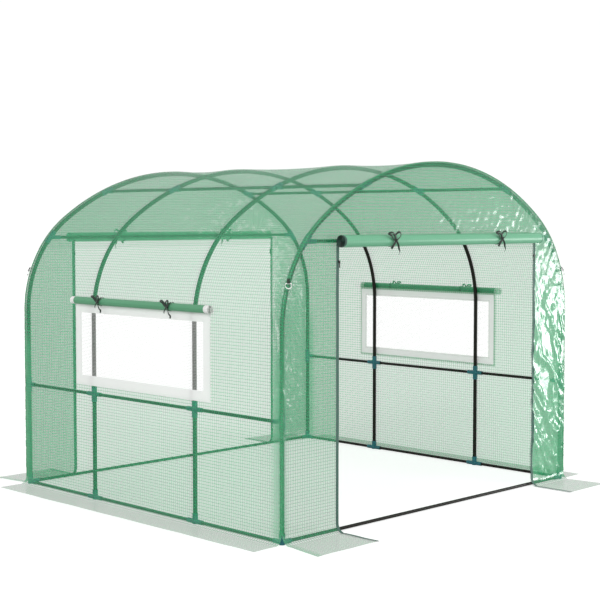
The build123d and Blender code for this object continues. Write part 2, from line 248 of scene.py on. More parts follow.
def new_sheet(low, high, pitch):
    """A flat cut as a grid of faces between two corners."""
    width, length = high[0] - low[0], high[1] - low[1]
    place = Matrix.Translation(((low[0] + high[0]) / 2, (low[1] + high[1]) / 2, 0))
    sheet = bmesh.new()
    bmesh.ops.create_grid(sheet, x_segments=max(1, round(width / pitch)),
                          y_segments=max(1, round(length / pitch)), size=0.5,
                          matrix=place @ Matrix.Diagonal((width, length, 1, 1)))
    return sheet


def cut_line(sheet, point, out, trim=False):
    """Cuts a flat sheet along a line, and trims what is beyond it."""
    everything = sheet.verts[:] + sheet.edges[:] + sheet.faces[:]
    bmesh.ops.bisect_plane(sheet, geom=everything, dist=1e-6, plane_co=point, plane_no=out,
                           clear_outer=trim)


def cut_window(sheet, low, high):
    """Cuts a rectangle out of a flat sheet."""
    for corner, sign in ((low, -1), (high, 1)):
        cut_line(sheet, (corner[0], 0, 0), (sign, 0, 0))
        cut_line(sheet, (0, corner[1], 0), (0, sign, 0))
    inside = [face for face in sheet.faces
              if low[0] < face.calc_center_median().x < high[0]
              and low[1] < face.calc_center_median().y < high[1]]
    bmesh.ops.delete(sheet, geom=inside, context="FACES")


def write_cut(sheet):
    """Writes the vertices' places into the UV map, in metres, and smooths the faces."""
    cut = sheet.loops.layers.uv.new("cut")
    for face in sheet.faces:
        face.smooth = True
        for loop in face.loops:
            loop[cut].uv = loop.vert.co.xy


def bend(sheet, shape, crumple=None):
    """Keeps the flat cut in the UV map and bends the sheet to its shape.

    The attribute "crushed" is 1 where the film is crumpled and below 0 where it is laid smooth.
    """
    write_cut(sheet)
    crushed = sheet.verts.layers.float.new("crushed")
    for vert in sheet.verts:
        if crumple:
            vert[crushed] = crumple(vert.co.x, vert.co.y)
        vert.co = shape(vert.co.x, vert.co.y)


def face_away(sheet, inside, axis=Vector((0, 0, 0))):
    """Turns a sheet's faces away from a point, or from an axis through it."""
    sheet.normal_update()
    outward = 0.0
    for face in sheet.faces:
        offset = face.calc_center_median() - inside
        offset -= axis * offset.dot(axis)
        outward += face.normal.dot(offset) * face.calc_area()
    if outward < 0:
        bmesh.ops.reverse_faces(sheet, faces=sheet.faces[:])


def add_piece(name, shape, materials, stands_for=()):
    """Makes a piece of a finished bmesh, on the tunnel's body and in its material slot."""
    mesh = bpy.data.meshes.new(name)
    shape.to_mesh(mesh)
    shape.free()
    for material in materials:
        mesh.materials.append(material)
    piece = bpy.data.objects.new(name, mesh)
    bpy.context.scene.collection.objects.link(piece)
    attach(piece, "root")
    if stands_for:
        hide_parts(*stands_for)
    return piece


def add_node(tree, kind, inputs=None, **settings):
    """Adds a shader node. An input is a value, a socket, or a node that gives its first output."""
    made = tree.nodes.new(kind)
    for name, value in settings.items():
        setattr(made, name, value)
    for name, value in (inputs or {}).items():
        socket = made.inputs[name]
        if isinstance(value, bpy.types.Node):
            value = value.outputs[0]
        if isinstance(value, bpy.types.NodeSocket):
            tree.links.new(value, socket)
        else:
            socket.default_value = (*value, 1.0) if socket.type == "RGBA" else value
    return made


def finish(name, draw, *looks):
    """The material of that name; at first, draw(tree, *looks) makes and returns its surface."""
    made = bpy.data.materials.get(name)
    if made is None:
        made = bpy.data.materials.new(name)
        made.use_nodes = True
        made.node_tree.nodes.clear()
        surface = draw(made.node_tree, *looks)
        add_node(made.node_tree, "ShaderNodeOutputMaterial", {"Surface": surface})
    return made


def reinforced_film(tree, sizes, colours):
    """Polyethylene film with a woven scrim laminated in it.

    The film is clear with a haze of green pigment, so it shows what is behind it; the scrim's flat
    tapes let less through, which gives the fine grid. Creased film scatters more and glints.
    """
    cell_haze, tape_haze, creased_haze = 0.40, 0.55, 0.26
    flat_mirror, creased_mirror, grazing_mirror = 0.045, 0.11, 0.25
    cut = add_node(tree, "ShaderNodeUVMap", uv_map="cut")
    scrim = add_node(tree, "ShaderNodeTexBrick",
                     {"Color1": colours.film_cell, "Color2": colours.film_cell,
                      "Mortar": colours.film_tape, "Scale": 1 / sizes.scrim_pitch,
                      "Mortar Size": sizes.scrim_tape / sizes.scrim_pitch / 2,
                      "Mortar Smooth": 0.3, "Brick Width": 1.0, "Row Height": 1.0,
                      "Vector": cut}, offset=0.0, squash=1.0)
    crushed = add_node(tree, "ShaderNodeAttribute", attribute_name="crushed").outputs["Fac"]
    place = add_node(tree, "ShaderNodeTexCoord").outputs["Object"]
    crinkle = add_node(tree, "ShaderNodeTexNoise",
                       {"Scale": 1 / (50 * MM), "Detail": 3.0, "Vector": place},
                       noise_type="RIDGED_MULTIFRACTAL")
    depth = add_node(tree, "ShaderNodeMapRange", {"To Min": 0.02, "To Max": 1.0, "Value": crushed})
    normal = add_node(tree, "ShaderNodeBump",
                      {"Distance": 6 * MM, "Strength": depth, "Height": crinkle})
    cover = add_node(tree, "ShaderNodeMapRange",
                     {"To Min": cell_haze, "To Max": tape_haze, "Value": scrim.outputs["Fac"]})
    cover_creased = add_node(tree, "ShaderNodeMath", {0: crushed, 1: creased_haze, 2: cover},
                             operation="MULTIPLY_ADD")
    diffuse = add_node(tree, "ShaderNodeBsdfDiffuse", {"Color": colours.film, "Normal": normal})
    through = add_node(tree, "ShaderNodeBsdfTranslucent",
                       {"Color": colours.film, "Normal": normal})
    haze = add_node(tree, "ShaderNodeMixShader", {0: 0.5, 1: diffuse, 2: through})
    clear = add_node(tree, "ShaderNodeBsdfTransparent", {"Color": scrim})
    film = add_node(tree, "ShaderNodeMixShader", {0: cover_creased, 1: clear, 2: haze})
    gloss = add_node(tree, "ShaderNodeBsdfGlossy", {"Roughness": 0.19, "Normal": normal})
    facing = add_node(tree, "ShaderNodeLayerWeight", {"Blend": 0.5, "Normal": normal})
    grazing = add_node(tree, "ShaderNodeMath", {0: facing.outputs["Facing"], 1: 5.0},
                       operation="POWER")
    face_on = add_node(tree, "ShaderNodeMapRange",
                       {"To Min": flat_mirror, "To Max": creased_mirror, "Value": crushed})
    mirrored = add_node(tree, "ShaderNodeMath", {0: grazing, 1: grazing_mirror, 2: face_on},
                        operation="MULTIPLY_ADD")
    return add_node(tree, "ShaderNodeMixShader", {0: mirrored, 1: film, 2: gloss})


def layered_film(tree, sizes, colour):
    """The same film rolled up: so many layers that it is opaque, with a satin skin."""
    tape_shade = 0.86
    cut = add_node(tree, "ShaderNodeUVMap", uv_map="cut")
    scrim = add_node(tree, "ShaderNodeTexBrick",
                     {"Color1": colour, "Color2": colour, "Mortar": [c * tape_shade for c in colour],
                      "Scale": 1 / sizes.scrim_pitch,
                      "Mortar Size": sizes.scrim_tape / sizes.scrim_pitch / 2,
                      "Mortar Smooth": 0.6, "Brick Width": 1.0, "Row Height": 1.0,
                      "Vector": cut}, offset=0.0, squash=1.0)
    place = add_node(tree, "ShaderNodeTexCoord").outputs["Object"]
    crinkle = add_node(tree, "ShaderNodeTexNoise", {"Scale": 35.0, "Detail": 3.0, "Vector": place})
    bump = add_node(tree, "ShaderNodeBump",
                    {"Strength": 0.25, "Distance": 2 * MM, "Height": crinkle})
    return add_node(tree, "ShaderNodeBsdfPrincipled",
                    {"Roughness": 0.38, "IOR": 1.51, "Base Color": scrim, "Normal": bump})


def coated_fabric(tree, colour):
    """White PVC-coated polyester: a matt smooth face with the faint weave under it."""
    weft_shade = 0.95
    cut = add_node(tree, "ShaderNodeUVMap", uv_map="cut")
    weave = add_node(tree, "ShaderNodeTexChecker",
                     {"Color1": colour, "Color2": [c * weft_shade for c in colour],
                      "Scale": 1 / (1.5 * MM), "Vector": cut})
    bump = add_node(tree, "ShaderNodeBump", {"Strength": 0.15, "Distance": 0.2 * MM,
                                             "Height": weave.outputs["Fac"]})
    skin = add_node(tree, "ShaderNodeBsdfPrincipled",
                    {"Roughness": 0.55, "IOR": 1.53, "Base Color": weave, "Normal": bump})
    through = add_node(tree, "ShaderNodeBsdfTranslucent", {"Color": colour})
    return add_node(tree, "ShaderNodeMixShader", {0: 0.3, 1: skin, 2: through})


def insect_net(tree, pitch, colour):
    """Fine knitted polyethylene net: white threads with clear holes.

    The real threads are 1.5 mm apart, too fine to show, so the net is drawn coarser.
    """
    hole_cover, thread_cover = 0.12, 0.5
    cut = add_node(tree, "ShaderNodeUVMap", uv_map="cut")
    threads = add_node(tree, "ShaderNodeTexBrick",
                       {"Scale": 1 / pitch, "Mortar Size": 0.2, "Mortar Smooth": 0.5,
                        "Brick Width": 1.0, "Row Height": 1.0, "Vector": cut},
                       offset=0.0, squash=1.0)
    cover = add_node(tree, "ShaderNodeMapRange", {"To Min": hole_cover, "To Max": thread_cover,
                                                  "Value": threads.outputs["Fac"]})
    diffuse = add_node(tree, "ShaderNodeBsdfDiffuse", {"Color": colour})
    through = add_node(tree, "ShaderNodeBsdfTranslucent", {"Color": colour})
    yarn = add_node(tree, "ShaderNodeMixShader", {0: 0.5, 1: diffuse, 2: through})
    clear = add_node(tree, "ShaderNodeBsdfTransparent")
    return add_node(tree, "ShaderNodeMixShader", {0: cover, 1: clear, 2: yarn})


def woven_tape(tree, colour, rib):
    """Woven polyester tape: matt, with ribs across it that are painted lighter as a painted sheen,
    over a soft real sheen.
    """
    # Painted sheen: how much lighter the ribs are painted than the tape
    painted_rib_sheen = 1.6
    bands_to_unit = 10
    cut = add_node(tree, "ShaderNodeUVMap", uv_map="cut")
    wave = add_node(tree, "ShaderNodeTexWave",
                    {"Scale": 1 / rib / bands_to_unit, "Distortion": 0.4, "Vector": cut},
                    wave_type="BANDS", bands_direction="Y")
    ribs = wave.outputs["Fac"]
    # The ribs' lighter colour here is a painted sheen
    shade = add_node(tree, "ShaderNodeMix", {0: ribs, 6: colour, 7: [c * painted_rib_sheen for c in colour]},
                     data_type="RGBA")
    bump = add_node(tree, "ShaderNodeBump", {"Strength": 0.4, "Distance": 0.4 * MM, "Height": ribs})
    return add_node(tree, "ShaderNodeBsdfPrincipled",
                    {"Roughness": 0.7, "Sheen Weight": 0.2, "IOR": 1.5,
                     "Base Color": shade.outputs[2], "Normal": bump})


def powder_coat(tree, colour):
    """Black gloss paint on steel tube: a sharp grey streak over fine orange peel."""
    dust_light = 1.7
    place = add_node(tree, "ShaderNodeTexCoord").outputs["Object"]
    peel = add_node(tree, "ShaderNodeTexNoise",
                    {"Scale": 1 / (2.5 * MM), "Detail": 1.0, "Vector": place})
    dust = add_node(tree, "ShaderNodeTexNoise", {"Scale": 6.0, "Detail": 4.0, "Vector": place})
    shade = add_node(tree, "ShaderNodeMix", {0: dust, 6: colour, 7: [c * dust_light for c in colour]},
                     data_type="RGBA")
    rough = add_node(tree, "ShaderNodeMapRange", {"To Min": 0.24, "To Max": 0.4, "Value": dust})
    bump = add_node(tree, "ShaderNodeBump",
                    {"Strength": 0.12, "Distance": 0.3 * MM, "Height": peel})
    return add_node(tree, "ShaderNodeBsdfPrincipled",
                    {"IOR": 1.5, "Specular IOR Level": 0.15, "Base Color": shade.outputs[2],
                     "Roughness": rough, "Normal": bump})


def moulded_plastic(tree, colour, roughness):
    """Injection-moulded plastic: satin, with a fine spark-eroded grain."""
    blotch_shade = 0.85
    place = add_node(tree, "ShaderNodeTexCoord").outputs["Object"]
    grain = add_node(tree, "ShaderNodeTexNoise",
                     {"Scale": 1 / (1.2 * MM), "Detail": 2.0, "Vector": place})
    blotch = add_node(tree, "ShaderNodeTexNoise", {"Scale": 25.0, "Detail": 2.0, "Vector": place})
    shade = add_node(tree, "ShaderNodeMix",
                     {0: blotch, 6: [c * blotch_shade for c in colour], 7: colour},
                     data_type="RGBA")
    bump = add_node(tree, "ShaderNodeBump",
                    {"Strength": 0.15, "Distance": 0.2 * MM, "Height": grain})
    return add_node(tree, "ShaderNodeBsdfPrincipled",
                    {"Roughness": roughness, "IOR": 1.49, "Base Color": shade.outputs[2],
                     "Normal": bump})


def cover_film(context):
    """The finish of the cover, the end sheets and the hems."""
    return finish("reinforced_polyethylene_film", reinforced_film, context.scene.tunnel_sizes,
                  context.scene.tunnel_colours)


def thicken(piece, thickness):
    """Gives a strap piece its thickness, half on each side."""
    solid = piece.modifiers.new("Solidify", "SOLIDIFY")
    solid.thickness = thickness
    solid.offset = 0


class TUNNEL_OT_stage(bpy.types.Operator):
    """Add the camera, the white floor and the soft studio light"""
    bl_idname = "tunnel.stage"
    bl_label = "Add Stage"

    # The photograph's view: 600 px wide, found from the frame's lines
    eye = (-6.0989, -6.1088, 1.6946)
    yaw = 0.78664
    pitch = -0.05978
    focal_px = 1340.6
    frame_px = 600
    sensor = 36.0

    # The floor's half length, and where the camera sees it, its glow and the share of its colour
    floor_reach = 60
    floor_glow = 0.7
    floor_share = 0.62

    # Strength of the room's light on things, and of the room as it is seen or mirrored
    room_light = 0.8
    room_seen = 1.28
    sun_width = 24

    def execute(self, context):
        self.add_camera(context)
        self.add_floor(context)
        self.add_light(context)
        context.scene.view_settings.view_transform = "Standard"
        return {"FINISHED"}

    def add_camera(self, context):
        """A level camera at the photograph's place, without shift or depth of field."""
        lens = bpy.data.cameras.new("camera")
        lens.sensor_width = self.sensor
        lens.lens = self.focal_px * self.sensor / self.frame_px
        lens.clip_end = 200
        camera = bpy.data.objects.new("camera", lens)
        context.scene.collection.objects.link(camera)
        level = math.cos(self.pitch)
        ahead = Vector((math.sin(self.yaw) * level, math.cos(self.yaw) * level,
                        math.sin(self.pitch)))
        camera.location = self.eye
        camera.rotation_euler = ahead.to_track_quat("-Z", "Y").to_euler()
        context.scene.camera = camera

    def add_floor(self, context):
        """A matt white floor that keeps shadows and is white where the camera sees it."""
        flat = new_sheet((-self.floor_reach, -self.floor_reach),
                         (self.floor_reach, self.floor_reach), 2 * self.floor_reach)
        mesh = bpy.data.meshes.new("floor")
        flat.to_mesh(mesh)
        flat.free()
        mesh.materials.append(finish("studio_floor", self.floor_paint,
                                     context.scene.tunnel_colours.ground))
        floor = bpy.data.objects.new("floor", mesh)
        context.scene.collection.objects.link(floor)

    def floor_paint(self, tree, colour):
        """A diffuse floor, darker but glowing where the camera sees it."""
        seen = add_node(tree, "ShaderNodeLightPath").outputs["Is Camera Ray"]
        glow = add_node(tree, "ShaderNodeMath", {0: seen, 1: self.floor_glow},
                        operation="MULTIPLY")
        shade = add_node(tree, "ShaderNodeMix",
                         {0: seen, 6: colour, 7: [c * self.floor_share for c in colour]},
                         data_type="RGBA")
        matt = add_node(tree, "ShaderNodeBsdfDiffuse", {"Color": shade.outputs[2]})
        light = add_node(tree, "ShaderNodeEmission", {"Strength": glow})
        return add_node(tree, "ShaderNodeAddShader", {0: matt, 1: light})

    def add_light(self, context):
        """An even white room, two suns, and a lamp that the creased right strip mirrors."""
        world = bpy.data.worlds.new("studio")
        context.scene.world = world
        world.use_nodes = True
        tree = world.node_tree
        tree.nodes.clear()
        path = add_node(tree, "ShaderNodeLightPath").outputs
        clear = add_node(tree, "ShaderNodeMath", {0: path["Is Transmission Ray"],
                                                  1: path["Is Diffuse Ray"]},
                         operation="SUBTRACT", use_clamp=True)
        mirror = add_node(tree, "ShaderNodeMath", {0: path["Is Glossy Ray"], 1: clear},
                          operation="MAXIMUM")
        seen = add_node(tree, "ShaderNodeMath", {0: path["Is Camera Ray"], 1: mirror},
                        operation="MAXIMUM")
        level = add_node(tree, "ShaderNodeMapRange",
                         {"To Min": self.room_light, "To Max": self.room_seen, "Value": seen})
        room = add_node(tree, "ShaderNodeBackground", {"Strength": level})
        add_node(tree, "ShaderNodeOutputWorld", {"Surface": room})
        lamp = self.add_lamp(context, "edge light", "AREA", (5.5, -3.9, 0.68), (1.1, -1.2, 0.9), 100)
        lamp.data.shape = "RECTANGLE"
        lamp.data.size = 1.6
        lamp.data.size_y = 1.3
        lamp.visible_camera = False
        for name, place, power in (("key", (2.0, -7.5, 5.5), 0.55), ("fill", (-8.0, -2.0, 5.0), 1.2)):
            lamp = self.add_lamp(context, name, "SUN", place, (0, 0, 0.9), power)
            lamp.data.angle = math.radians(self.sun_width)

    def add_lamp(self, context, name, kind, place, target, power):
        """A lamp at a place, aimed at a target."""
        lamp = bpy.data.objects.new(name, bpy.data.lights.new(name, kind))
        lamp.data.energy = power
        lamp.location = place
        aim = Vector(target) - Vector(place)
        lamp.rotation_euler = aim.to_track_quat("-Z", "Y").to_euler()
        context.scene.collection.objects.link(lamp)
        return lamp


class TUNNEL_OT_frame(bpy.types.Operator):
    """Finish the steel tubes and the moulded connectors"""
    bl_idname = "tunnel.frame"
    bl_label = "Finish Frame"

    def execute(self, context):
        colours = context.scene.tunnel_colours
        paint = finish("powder_coated_steel", powder_coat, colours.tube)
        plastic = finish("moulded_polypropylene", moulded_plastic, colours.connector, 0.42)
        for name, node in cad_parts.items():
            if name.startswith("hoop_") or name.endswith(("_rail", "_bar")):
                look = paint
            elif name.endswith("_connectors"):
                look = plastic
            else:
                continue
            node.data.materials.clear()
            node.data.materials.append(look)
        return {"FINISHED"}


class TUNNEL_OT_cover(bpy.types.Operator):
    """Stretch the one-piece film cover over the hoops, out to its side skirts"""
    bl_idname = "tunnel.cover"
    bl_label = "Add Film Cover"

    def execute(self, context):
        sizes = context.scene.tunnel_sizes
        outline = Outline(sizes)
        sheet = new_sheet((-outline.end, -panel_y), (outline.end, panel_y), sizes.mesh_pitch)
        low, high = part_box("left_window_border")
        places = sorted((outline.place_at(low.z), outline.place_at(high.z)))
        for side in (-1, 1):
            edges = sorted((side * (places[0] + sizes.film_lap),
                            side * (places[1] - sizes.film_lap)))
            cut_window(sheet, (edges[0], low.y + sizes.film_lap),
                       (edges[1], high.y - sizes.film_lap))
        rail = outline.crown * math.asin(rail_offset / outline.crown)

        def creased(place, along):
            """How crumpled the cover is: along its front corners, below the shoulder."""
            low_wall = smooth(outline.shoulder_end, outline.shoulder_end + 0.3, abs(place))
            front = 1 - smooth(0.0, 0.09, abs(along + half_length))
            rear = 1 - smooth(0.0, 0.09, abs(along - half_length))
            laid = smooth(outline.leg_end, outline.cove_end, abs(place))
            return low_wall * max(front, rear) * (1 - laid) - 0.4 * laid

        def drawn(place, along):
            """Where a point of the cut lies on the tunnel."""
            down = abs(place)
            on_rail = math.exp(-((down - rail) / 0.07) ** 2)
            roof = sizes.roof_sag * (1 - 0.5 * on_rail)
            wall = smooth(outline.crown_end, outline.shoulder_end, down)
            ground = smooth(outline.shoulder_end + 0.2, outline.leg_end, down)
            depth = (roof + (sizes.wall_sag - roof) * wall) * (1 - ground)
            lift = -depth * between_hoops(along)
            lift += 1.2 * MM * noise.noise(Vector((place * 5, along * 3, 1.0))) * (1 - 0.5 * ground)
            crush = creased(place, along)
            if crush > 0:
                fold = max(0, 0.3 + folds(along, place, 0.05, 2.5, 3.0))
                lift += crush * sizes.crumple_depth * 0.5 * fold
            if down > outline.cove_end:
                lift = 2 * MM * (1 + noise.noise(Vector((place * 9, along * 6, 4.0))))
            x, z = outline.at(place, lift)
            return Vector((x, along, z))

        bend(sheet, drawn, creased)
        face_away(sheet, tunnel_middle)
        piece = add_piece("film_cover", sheet, [cover_film(context)],
                          ["roof_cover", "left_wall_cover", "right_wall_cover",
                           "left_skirt", "right_skirt"])
        return {"FINISHED"}


def end_bottom(outline):
    """Where an end sheet's cut ends, below the wall, its bend and its skirt."""
    return wall_bottom - outline.cove * math.pi / 2 - (end_reach - panel_y - outline.cove)


def end_crumple(x, up):
    """How crumpled an end sheet is: most in the right strip, and some right of the gable."""
    strip = smooth(0.9, 0.98, x) * (1 - 0.45 * smooth(1.1, 1.45, up)) * smooth(-0.02, 0.1, up)
    gable = (0.14 + 0.36 * smooth(-0.2, 0.9, x)) * smooth(1.5, 1.62, up)
    corner = 0.6 * smooth(-1.23, -1.275, x) * (1 - smooth(1.0, 1.3, up))
    laid = 1 - smooth(-0.02, wall_bottom, up)
    return max(strip, gable, corner) - 0.4 * laid


def end_shape(sizes, way, seed, stand=0.0):
    """Bends an end's flat cut: X across the tunnel, Y up; stand is how far a piece is off it."""
    outline = Outline(sizes)
    cove_run = outline.cove * math.pi / 2
    skirt_run = end_reach - panel_y - outline.cove

    def drawn(x, up):
        crush = max(0.0, end_crumple(x, up))
        lean = x + 0.55 * (up - 1.0) * (1 - smooth(1.2, 1.6, up))
        low = 1 - smooth(0.9, 1.2, up)
        wide = folds(lean, up, 0.11, 3.0, seed + 2.0)
        fine = folds(x, up, 0.055, 1.7, seed + 8.0)
        high = smooth(1.45, 1.6, up)
        lift = crush * sizes.crumple_depth * (wide * (0.6 + 2.2 * low - 0.3 * high)
                                              + fine * (0.6 + 0.4 * high))
        # Inward folds stop short of the hoops, and fade out above the bend onto the ground
        free = smooth(0.02, 0.08, outline.depth(x, up))
        inward = (2 * MM + 4 * MM * free) * smooth(wall_bottom, wall_bottom + 0.1, up)
        lift = max(lift, -inward) * (0.45 + 0.55 * free)
        lift += 1.5 * MM * noise.noise(Vector((x * 4, up * 4, seed))) + stand
        if up >= wall_bottom:
            return Vector((x, way * (panel_y + lift), up))
        past = wall_bottom - up
        if past <= cove_run:
            turn = past / outline.cove
            hold = outline.cove - lift
            y = panel_y + outline.cove - hold * math.cos(turn)
            return Vector((x, way * y, skirt_lift + outline.cove - hold * math.sin(turn)))
        out = past - cove_run
        flare = skirt_flare * out / skirt_run * smooth(doorway_edge, outline.wall, abs(x))
        ripple = 2 * MM * (1 + noise.noise(Vector((x * 8, up * 8, seed + 6)))) + stand
        return Vector((x + math.copysign(flare, x), way * (panel_y + outline.cove + out),
                       skirt_lift + ripple))
    return drawn


class TUNNEL_OT_ends(bpy.types.Operator):
    """Hang the two end sheets with their doorways and ground skirts"""
    bl_idname = "tunnel.ends"
    bl_label = "Add End Sheets"

    def execute(self, context):
        for name, way, seed in (("front", -1, 0.0), ("rear", 1, 11.0)):
            self.add_end(context, name, way, seed)
        return {"FINISHED"}

    def add_end(self, context, name, way, seed):
        """One end: a sheet trimmed to the arch, with its doorway cut and its skirts laid out."""
        sizes = context.scene.tunnel_sizes
        outline = Outline(sizes)
        bottom = end_bottom(outline)
        top = outline.crown_centre + outline.crown
        sheet = new_sheet((-outline.wall, bottom), (outline.wall, top), sizes.end_mesh_pitch)
        for point, out in outline.tangents():
            cut_line(sheet, point, out, trim=True)
        inset = sizes.zip_tape / 2
        left, right = doorways[way]
        cut_window(sheet, (left + inset, bottom - 1), (right - inset, gable_bottom))

        bend(sheet, end_shape(sizes, way, seed), end_crumple)
        face_away(sheet, tunnel_middle)
        piece = add_piece(f"{name}_end_film", sheet, [cover_film(context)],
                          [f"{name}_gable_panel", f"{name}_left_panel", f"{name}_right_panel",
                           f"{name}_left_skirt", f"{name}_right_skirt"])


class TUNNEL_OT_hems(bpy.types.Operator):
    """Fold the hems that join the cover to the end sheets along both arches"""
    bl_idname = "tunnel.hems"
    bl_label = "Add Hems"

    on_cover = 0.012
    on_end = 0.006
    corner = 0.005
    stand = 0.0022
    fold_height = 0.005

    def execute(self, context):
        sizes = context.scene.tunnel_sizes
        outline = Outline(sizes)
        arc = self.corner * math.pi / 2
        across = self.on_cover + arc + self.on_end
        for name, way in (("front", -1), ("rear", 1)):
            sheet = new_sheet((-outline.leg_end, 0), (outline.leg_end, across), 0.0045)

            def folded(place, over):
                """Bends the hem round the edge, from the cover onto the end sheet."""
                turn = min(max((over - self.on_cover) / self.corner, 0), math.pi / 2)
                lift = self.stand - self.corner + self.corner * math.cos(turn)
                depth = self.corner - self.stand - self.corner * math.sin(turn)
                depth += max(self.on_cover - over, 0)
                lift -= max(over - self.on_cover - arc, 0)
                legs = smooth(outline.crown_end, outline.leg_end, abs(place))
                fold = max(0, 0.15 + folds(place, over, 0.03, 0.6, way * 4.0))
                crush = self.fold_height * (0.1 + legs) * fold
                x, z = outline.at(place, lift + crush * math.cos(turn))
                return Vector((x, way * (panel_y - depth + crush * math.sin(turn)), z))

            def creased(place, over):
                """The hem is half crumpled at the foot of a leg, and smooth above the shoulder."""
                return 0.5 * smooth(outline.shoulder_end - 0.3, outline.leg_end, abs(place))

            bend(sheet, folded, creased)
            face_away(sheet, tunnel_middle)
            piece = add_piece(f"{name}_hem", sheet, [cover_film(context)])
        return {"FINISHED"}


class TUNNEL_OT_windows(bpy.types.Operator):
    """Sew the netted windows with their white borders into both walls"""
    bl_idname = "tunnel.windows"
    bl_label = "Add Windows"

    def execute(self, context):
        sizes, colours = context.scene.tunnel_sizes, context.scene.tunnel_colours
        fabric = finish("coated_polyester_fabric", coated_fabric, colours.border)
        netting = finish("knitted_insect_net", insect_net, sizes.net_pitch, colours.net)
        outline = Outline(sizes)
        low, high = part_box("left_window_border")
        top, bottom = outline.place_at(high.z), outline.place_at(low.z)
        band = sizes.border_width
        for name, side in (("left", -1), ("right", 1)):
            def on_wall(lift):
                """Bends a cut whose X runs down from the ridge."""
                def drawn(place, along):
                    pull = 0.8 * MM * noise.noise(Vector((place * 12, along * 12, side)))
                    x, z = outline.at(side * place, lift + pull)
                    return Vector((x, along, z))
                return drawn

            border = new_sheet((top, low.y), (bottom, high.y), 0.02)
            cut_window(border, (top + band, low.y + band), (bottom - band, high.y - band))
            bend(border, on_wall(2 * MM))
            face_away(border, tunnel_middle)
            piece = add_piece(f"{name}_window_band", border, [fabric],
                              [f"{name}_window_border"])
            lap = band - 0.01
            net = new_sheet((top + lap, low.y + lap), (bottom - lap, high.y - lap), 0.02)
            bend(net, on_wall(0.8 * MM))
            face_away(net, tunnel_middle)
            piece = add_piece(f"{name}_window_net", net, [netting],
                              [f"{name}_window_mesh"])
        return {"FINISHED"}


def rolled(span, radius, core, pitch, bands):
    """A flat sheet ready to roll: X along the roll, Y the length that goes into its turns.

    bands are the stretches of its width that have the second material.
    """
    turns = (radius - core) / pitch
    length = span[1] - span[0]
    place = Matrix.Translation(((span[0] + span[1]) / 2, 0.5, 0))
    sheet = bmesh.new()
    bmesh.ops.create_grid(sheet, x_segments=round(length / 0.03), y_segments=round(24 * turns),
                          size=0.5, matrix=place @ Matrix.Diagonal((length, 1, 1, 1)))
    for band in bands:
        for edge in band:
            if span[0] < edge < span[1]:
                cut_line(sheet, (edge, 0, 0), (1, 0, 0))
    for vert in sheet.verts:
        bend_radius = radius - vert.co.y * (radius - core)
        vert.co.y = math.pi * (radius**2 - bend_radius**2) / pitch
    for face in sheet.faces:
        across = face.calc_center_median().x
        face.material_index = int(any(low < across < high for low, high in bands))
    return sheet


def wound(place, radius, pitch, toward):
    """Rolls a sheet from the wall down, out and up into itself; toward points at the wall."""
    def drawn(along, length):
        bend_radius = math.sqrt(max(radius**2 - length * pitch / math.pi, 1e-8))
        turn = -2 * math.pi * (radius - bend_radius) / pitch
        wander = 0.5 * MM * noise.noise(Vector((along * 6, turn, 2.0)))
        slip = 1.5 * MM * noise.noise(Vector((turn * 0.4, 3.0, 0.0)))
        reach = (bend_radius + wander) * math.cos(turn)
        rise = (bend_radius + wander) * math.sin(turn)
        line = Vector((abs(toward.y), abs(toward.x), 0))
        return place + toward * reach + Vector((0, 0, rise)) + line * (along + slip)
    return drawn


class TUNNEL_OT_rolls(bpy.types.Operator):
    """Roll up the doors and the window flaps"""
    bl_idname = "tunnel.rolls"
    bl_label = "Add Rolls"

    def execute(self, context):
        sizes, colours = context.scene.tunnel_sizes, context.scene.tunnel_colours
        door = finish("rolled_door_film", layered_film, sizes, colours.rolled_film)
        tape = finish("woven_zip_tape", woven_tape, colours.zip_tape, 1.2 * MM)
        flap = finish("rolled_flap_film", layered_film, sizes, colours.flap_film)
        band = finish("coated_polyester_fabric", coated_fabric, colours.border)
        rim = sizes.zip_tape
        places = (("front_door", Vector((0, 1, 0)), 6 * MM, sizes.turn_pitch, [door, tape]),
                  ("rear_door", Vector((0, -1, 0)), 6 * MM, sizes.turn_pitch, [door, tape]),
                  ("left_window", Vector((1, 0, 0)), 5 * MM, sizes.flap_turn_pitch, [flap, band]),
                  ("right_window", Vector((-1, 0, 0)), 5 * MM, sizes.flap_turn_pitch, [flap, band]))
        for name, toward, core, pitch, materials in places:
            low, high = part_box(f"{name}_roll")
            radius = (high.z - low.z) / 2
            centre = (low + high) / 2
            if toward.x:
                span = (low.y, high.y)
                centre.y = 0
                bands = ((span[0], span[0] + sizes.flap_band), (span[1] - sizes.flap_band, span[1]))
            else:
                span = (low.x, high.x)
                centre.x = 0
                bands = ((span[0], span[0] + rim), (span[1] - 1.3 * rim, span[1] - 0.9 * rim))
            sheet = rolled(span, radius, core, pitch, bands)
            bend(sheet, wound(centre, radius, pitch, toward))
            face_away(sheet, centre, Vector((abs(toward.y), abs(toward.x), 0)))
            piece = add_piece(f"{name}_rolled", sheet, materials, [f"{name}_roll"])
        return {"FINISHED"}


def smooth_line(points, count):
    """Even steps along a smooth line through points (Catmull-Rom): places and directions."""
    ends = [points[0] * 2 - points[1], *points, points[-1] * 2 - points[-2]]
    places = []
    for before, low, high, after in zip(ends, ends[1:], ends[2:], ends[3:]):
        for i in range(count):
            t = i / count
            places.append(0.5 * (2 * low + (high - before) * t
                                 + (2 * before - 5 * low + 4 * high - after) * t**2
                                 + (3 * low - before - 3 * high + after) * t**3))
    places.append(points[-1])
    ahead = [(b - a).normalized() for a, b in zip(places, places[1:])]
    return places, ahead + ahead[-1:]


